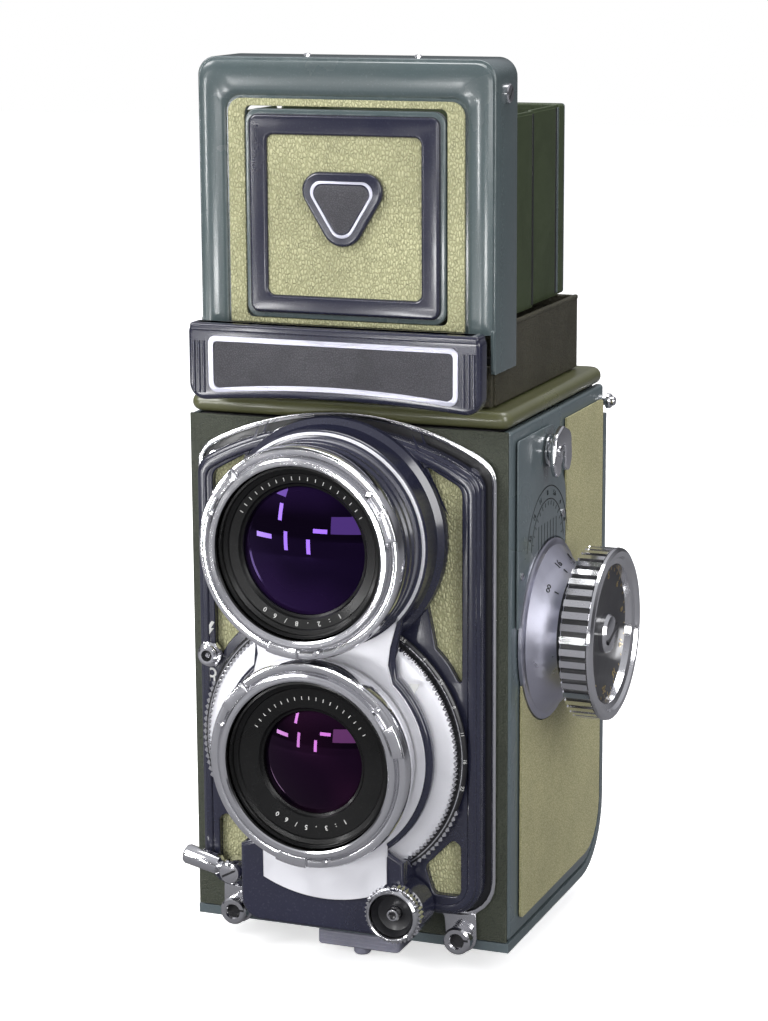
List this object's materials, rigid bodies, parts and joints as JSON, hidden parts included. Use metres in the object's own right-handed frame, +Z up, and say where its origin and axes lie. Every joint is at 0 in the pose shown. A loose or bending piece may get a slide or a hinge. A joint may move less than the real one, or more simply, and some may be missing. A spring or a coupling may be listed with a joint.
{
  "type": "twin lens reflex camera",
  "caption": "Small twin lens reflex roll-film camera with its hood raised, a focusing knob, two bayonet lens rings, leather panels and a hinged back.",
  "frame": {"origin": "bottom centre of the whole camera's box, on the surface its four feet stand on", "axes": "+Z up, -Y the side the lenses face, +X on the right of a front view, where the focusing knob is"},
  "size_m": [0.0894, 0.082, 0.166],
  "materials": {
    "grey_paint": "satin blue-grey enamel",
    "navy_paint": "semi-gloss navy enamel on aluminium",
    "olive_leather": "pale olive grained leather",
    "dark_olive": "dark olive crackle covering",
    "olive_paint": "satin olive enamel",
    "green_panel": "dark green satin enamel",
    "chrome": "polished chrome",
    "satin_metal": "satin nickel and aluminium",
    "alloy": "blackened die-cast alloy",
    "black_paint": "black enamel and bakelite",
    "glass": "coated optical glass",
    "mirror": "front-silvered mirror"
  },
  "bodies": {
    "camera_body": {"body_casting": "alloy", "side_cover_left": "grey_paint", "side_cover_right": "grey_paint", "side_leather_left": "olive_leather", "side_leather_right": "olive_leather", "strap_lug_left": "chrome", "strap_lug_right": "chrome", "front_skin": "dark_olive", "front_trim": "chrome", "exposure_table_plate": "grey_paint", "top_deck": "olive_paint", "back_hinge_pin": "chrome", "film_gate": "black_paint", "reflex_mirror": "mirror", "mirror_bracket": "black_paint", "focusing_screen": "glass", "screen_frame": "black_paint", "focus_flange": "satin_metal", "hood_base": "dark_olive", "nameplate": "navy_paint"},
    "back_door": {"back_door": "grey_paint", "back_leather": "olive_leather", "tripod_bush": "chrome", "pressure_plate": "black_paint", "pressure_spring": "satin_metal"},
    "back_latch": {"back_latch": "satin_metal"},
    "lens_standard": {"lens_standard": "navy_paint", "standard_leather": "olive_leather", "viewing_lens_barrel": "navy_paint", "viewing_bayonet_ring": "chrome", "viewing_front_glass": "glass", "shutter_housing": "satin_metal", "taking_bayonet_ring": "chrome", "taking_front_glass": "glass", "shutter_blades": "satin_metal", "iris_blades": "black_paint", "shutter_cover": "navy_paint", "face_plate": "satin_metal"},
    "aperture_ring": {"aperture_ring": "satin_metal"},
    "speed_ring": {"speed_ring": "satin_metal"},
    "cocking_lever": {"cocking_lever": "chrome"},
    "release_button": {"release_button": "chrome"},
    "release_lock_ring": {"release_lock_ring": "chrome"},
    "focus_knob": {"focus_knob": "chrome", "focus_shaft": "satin_metal"},
    "wind_knob": {"wind_knob": "chrome"},
    "take_up_spool": {"take_up_spool": "black_paint"},
    "supply_spool": {"supply_spool": "black_paint"},
    "upper_film_roller": {"upper_film_roller": "satin_metal"},
    "lower_film_roller": {"lower_film_roller": "satin_metal"},
    "hood_lid": {"hood_lid": "grey_paint", "lid_leather": "olive_leather"},
    "front_leaf_left": {"front_leaf_left": "green_panel"},
    "front_leaf_right": {"front_leaf_right": "green_panel"},
    "sports_flap": {"sports_flap": "navy_paint"},
    "magnifier": {"magnifier_holder": "black_paint", "magnifier_lens": "glass"},
    "rear_panel": {"rear_panel": "green_panel"},
    "rear_leaf_left": {"rear_leaf_left": "green_panel"},
    "rear_leaf_right": {"rear_leaf_right": "green_panel"}
  },
  "joints": [
    {"name": "back_door_hinge", "type": "hinge", "parent": "camera_body", "child": "back_door", "pos_m": [0, 0.0391, 0.098], "axis": [1, 0, 0], "range_deg": [0, 100]},
    {"name": "back_latch_hinge", "type": "hinge", "parent": "back_door", "child": "back_latch", "pos_m": [0, -0.0044, 0.0031], "axis": [1, 0, 0], "range_deg": [0, 60]},
    {"name": "standard_slide", "type": "slide", "parent": "camera_body", "child": "lens_standard", "axis": [0, -1, 0], "range_m": [0, 0.00418]},
    {"name": "focus_knob_turn", "type": "hinge", "parent": "camera_body", "child": "focus_knob", "pos_m": [0.031, 0.0031, 0.0613], "axis": [1, 0, 0], "range_deg": [0, 300]},
    {"name": "aperture_ring_turn", "type": "hinge", "parent": "lens_standard", "child": "aperture_ring", "pos_m": [0, -0.0239, 0.043], "axis": [0, -1, 0], "range_deg": [0, 70]},
    {"name": "speed_ring_turn", "type": "hinge", "parent": "lens_standard", "child": "speed_ring", "pos_m": [0, -0.0259, 0.043], "axis": [0, -1, 0], "range_deg": [0, 110]},
    {"name": "cocking_lever_swing", "type": "hinge", "parent": "lens_standard", "child": "cocking_lever", "pos_m": [-0.0199, -0.0235, 0.0175], "axis": [0, 1, 0], "range_deg": [0, 40], "stiffness_Nm_per_rad": 0.01, "springref_deg": -5.73},
    {"name": "release_button_press", "type": "slide", "parent": "lens_standard", "child": "release_button", "axis": [0, 1, 0], "range_m": [0, 0.0012], "stiffness_N_per_m": 300, "springref_m": -0.001},
    {"name": "release_lock_turn", "type": "hinge", "parent": "lens_standard", "child": "release_lock_ring", "pos_m": [0.0137, -0.0309, 0.0148], "axis": [0, -1, 0], "range_deg": [0, 45]},
    {"name": "wind_knob_turn", "type": "hinge", "parent": "camera_body", "child": "wind_knob", "pos_m": [-0.031, 0.0263, 0.0792], "axis": [-1, 0, 0], "continuous": true},
    {"name": "take_up_spool_turn", "type": "hinge", "parent": "camera_body", "child": "take_up_spool", "pos_m": [0, 0.0263, 0.0792], "axis": [-1, 0, 0], "continuous": true},
    {"name": "supply_spool_turn", "type": "hinge", "parent": "camera_body", "child": "supply_spool", "pos_m": [0, -0.0019, 0.0165], "axis": [-1, 0, 0], "continuous": true},
    {"name": "upper_roller_turn", "type": "hinge", "parent": "camera_body", "child": "upper_film_roller", "pos_m": [0, 0.0289, 0.0664], "axis": [1, 0, 0], "continuous": true},
    {"name": "lower_roller_turn", "type": "hinge", "parent": "camera_body", "child": "lower_film_roller", "pos_m": [0, 0.0289, 0.0182], "axis": [1, 0, 0], "continuous": true},
    {"name": "hood_lid_hinge", "type": "hinge", "parent": "camera_body", "child": "hood_lid", "pos_m": [0, -0.0144, 0.1153], "axis": [-1, 0, 0], "range_deg": [0, 25]},
    {"name": "front_leaf_left_hinge", "type": "hinge", "parent": "hood_lid", "child": "front_leaf_left", "pos_m": [-0.02535, -0.01235, 0.1196], "axis": [0, 0, -1], "range_deg": [0, 90]},
    {"name": "front_leaf_right_hinge", "type": "hinge", "parent": "hood_lid", "child": "front_leaf_right", "pos_m": [0.02535, -0.01235, 0.1196], "axis": [0, 0, 1], "range_deg": [0, 90]},
    {"name": "sports_flap_hinge", "type": "hinge", "parent": "hood_lid", "child": "sports_flap", "pos_m": [0, -0.0165, 0.1207], "axis": [1, 0, 0], "range_deg": [-45, 0]},
    {"name": "magnifier_hinge", "type": "hinge", "parent": "sports_flap", "child": "magnifier", "pos_m": [0, -0.0148, 0.1549], "axis": [-1, 0, 0], "range_deg": [-90, 0]},
    {"name": "rear_panel_hinge", "type": "hinge", "parent": "camera_body", "child": "rear_panel", "pos_m": [0, 0.0299, 0.119], "axis": [1, 0, 0], "range_deg": [0, 90]},
    {"name": "rear_leaf_left_hinge", "type": "hinge", "parent": "rear_panel", "child": "rear_leaf_left", "pos_m": [-0.02435, 0.02805, 0.1196], "axis": [0, 0, 1], "range_deg": [0, 90]},
    {"name": "rear_leaf_right_hinge", "type": "hinge", "parent": "rear_panel", "child": "rear_leaf_right", "pos_m": [0.02435, 0.02805, 0.1196], "axis": [0, 0, -1], "range_deg": [0, 90]}
  ],
  "couplings": [
    {"joint": "focus_knob_turn", "follows": "standard_slide", "rad_per_m": 1250},
    {"joint": "take_up_spool_turn", "follows": "wind_knob_turn", "ratio": 1},
    {"joint": "rear_leaf_left_hinge", "follows": "rear_panel_hinge", "ratio": 1},
    {"joint": "rear_leaf_right_hinge", "follows": "rear_panel_hinge", "ratio": 1}
  ]
}
